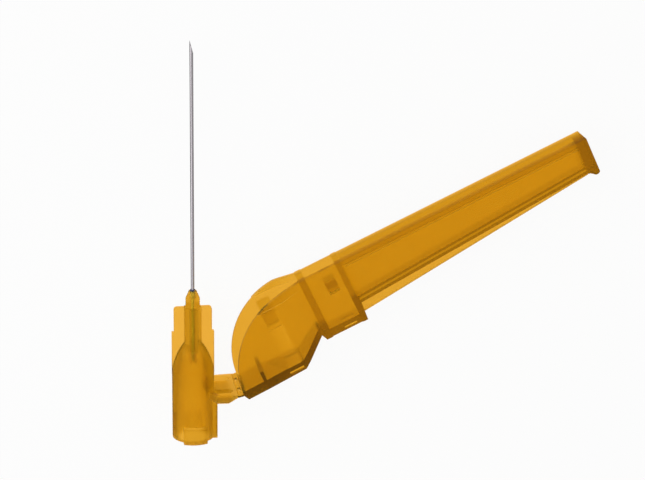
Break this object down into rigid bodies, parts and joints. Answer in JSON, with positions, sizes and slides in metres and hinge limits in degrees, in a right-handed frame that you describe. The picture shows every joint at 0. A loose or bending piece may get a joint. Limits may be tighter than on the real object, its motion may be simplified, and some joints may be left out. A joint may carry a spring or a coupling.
{
  "type": "safety hypodermic needle",
  "caption": "Hypodermic needle in a finned hub with a tapered syringe socket, and an open channel sheath on a moulded hinge that folds over the needle.",
  "frame": {"origin": "centre of the syringe socket's mouth, on the needle's axis", "axes": "+Y along the needle towards its point, +Z along the hinge axis and up as the part lies, +X towards the sheath"},
  "size_m": [0.0631, 0.06, 0.0088],
  "materials": {
    "needle_steel": "polished drawn tube",
    "bond": "clear cured resin",
    "orange_plastic": "translucent moulded polypropylene"
  },
  "bodies": {
    "hub_body": {"hub": "orange_plastic", "cannula": "needle_steel", "adhesive_bead": "bond", "living_hinge": "orange_plastic"},
    "sheath_body": {"sheath": "orange_plastic"}
  },
  "joints": [
    {"name": "sheath_hinge", "type": "hinge", "parent": "hub_body", "child": "sheath_body", "pos_m": [0.0066, 0.0076, 0], "axis": [0, 0, 1], "range_deg": [-112, 63.1], "deforming": ["living_hinge"]}
  ]
}
